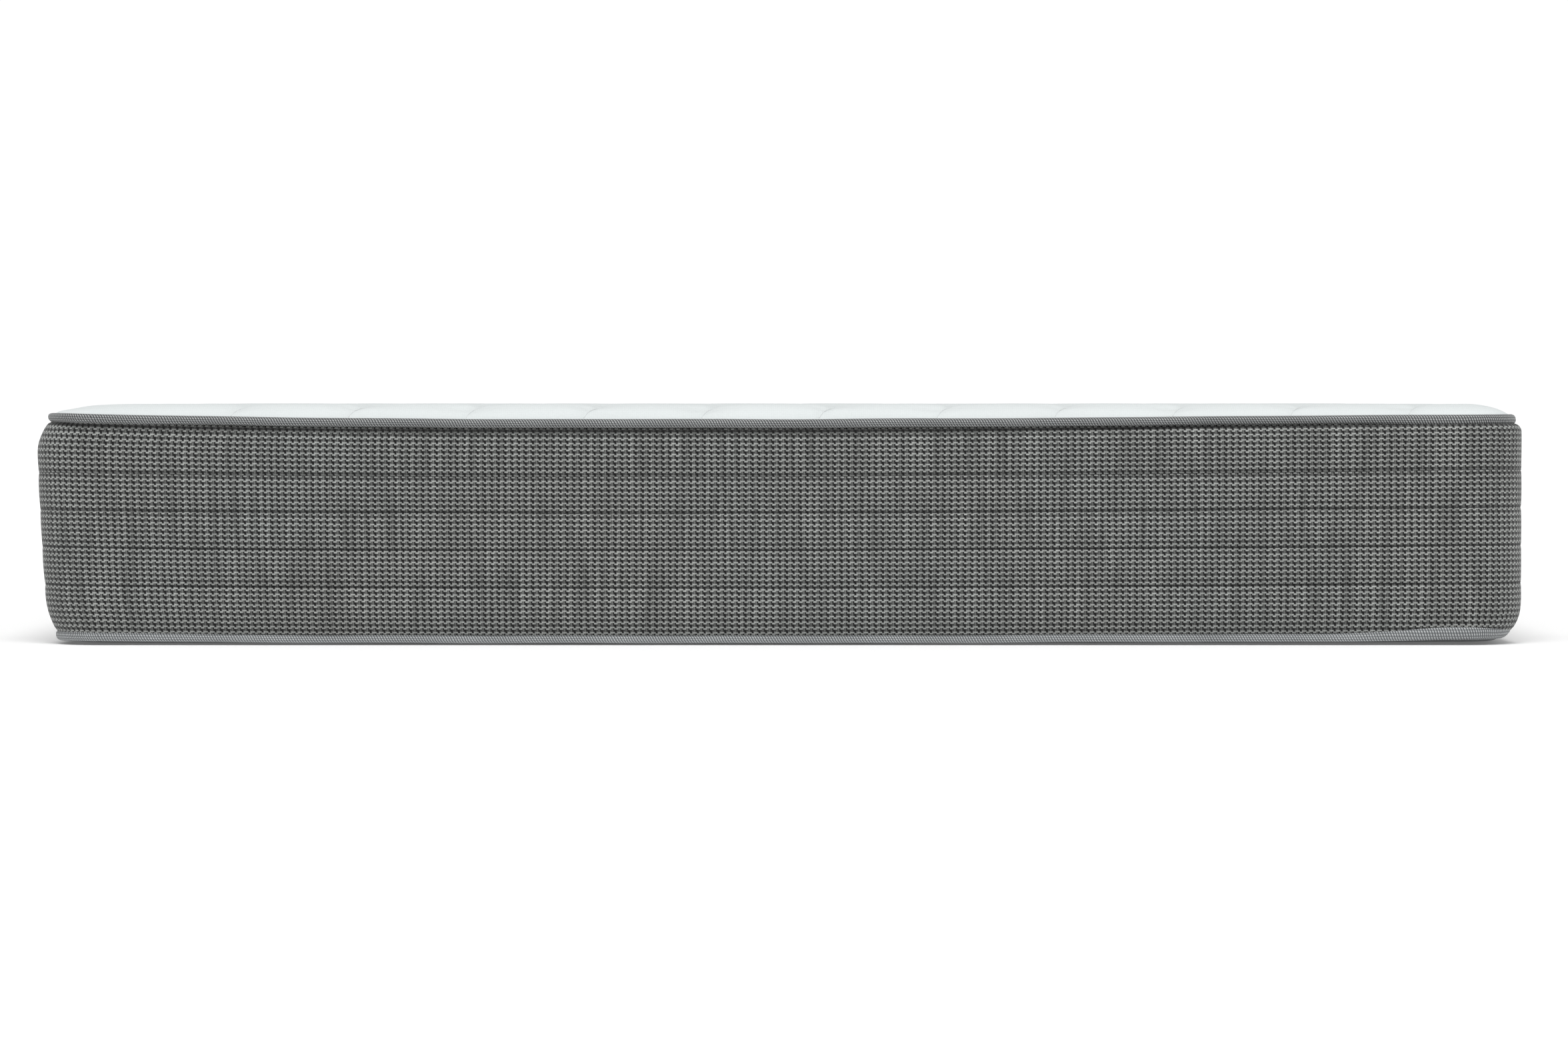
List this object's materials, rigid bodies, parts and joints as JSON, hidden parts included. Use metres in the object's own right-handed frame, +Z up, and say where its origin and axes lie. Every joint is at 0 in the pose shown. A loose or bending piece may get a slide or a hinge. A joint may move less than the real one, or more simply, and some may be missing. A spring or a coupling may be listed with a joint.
{
  "type": "memory foam mattress",
  "caption": "Double memory foam mattress: glued foam layers inside a quilted cover with a padded houndstooth border and taped edges.",
  "frame": {"origin": "under the middle of the mattress, on the surface that it lies on", "axes": "+Z up, Y along the length with the foot end at -Y, X across the width"},
  "size_m": [1.6, 2, 0.26],
  "materials": {
    "white_knit": "soft white knitted ticking",
    "houndstooth": "grey and charcoal houndstooth knit, matt",
    "woven_tape": "grey twill-woven binding tape, matt",
    "base_cloth": "plain light grey base cloth, matt",
    "grey_thread": "twisted polyester thread, slight sheen",
    "white_thread": "twisted polyester thread, slight sheen",
    "non_woven": "thin non-woven backing, matt",
    "sleeve_knit": "thin tubular knit, matt",
    "quilt_foam": "soft open-cell polyurethane quilting foam",
    "memory_foam": "slow-recovery viscoelastic polyurethane foam",
    "transition_foam": "soft open-cell polyurethane foam",
    "support_foam": "firm open-cell polyurethane foam"
  },
  "bodies": {
    "root": {"support_foam": "support_foam", "transition_foam": "transition_foam", "memory_foam": "memory_foam", "inner_sleeve": "sleeve_knit", "sleeve_closing_seam": "white_thread", "top_ticking": "white_knit", "top_quilt_foam": "quilt_foam", "top_quilt_backing": "non_woven", "bottom_ticking": "base_cloth", "bottom_pad": "quilt_foam", "bottom_backing": "non_woven", "border_fabric": "houndstooth", "border_foam": "quilt_foam", "border_backing": "non_woven", "border_end_seam": "grey_thread", "top_edge_tape": "woven_tape", "bottom_edge_tape": "woven_tape", "top_tape_thread": "grey_thread", "bottom_tape_thread": "grey_thread", "border_quilt_thread_1": "grey_thread", "border_quilt_thread_2": "grey_thread", "border_quilt_thread_3": "grey_thread", "border_quilt_thread_4": "grey_thread", "top_quilt_thread_01": "white_thread", "top_quilt_thread_02": "white_thread", "top_quilt_thread_03": "white_thread", "top_quilt_thread_04": "white_thread", "top_quilt_thread_05": "white_thread", "top_quilt_thread_06": "white_thread", "top_quilt_thread_07": "white_thread", "top_quilt_thread_08": "white_thread", "top_quilt_thread_09": "white_thread", "top_quilt_thread_10": "white_thread", "top_quilt_thread_11": "white_thread"}
  },
  "joints": []
}
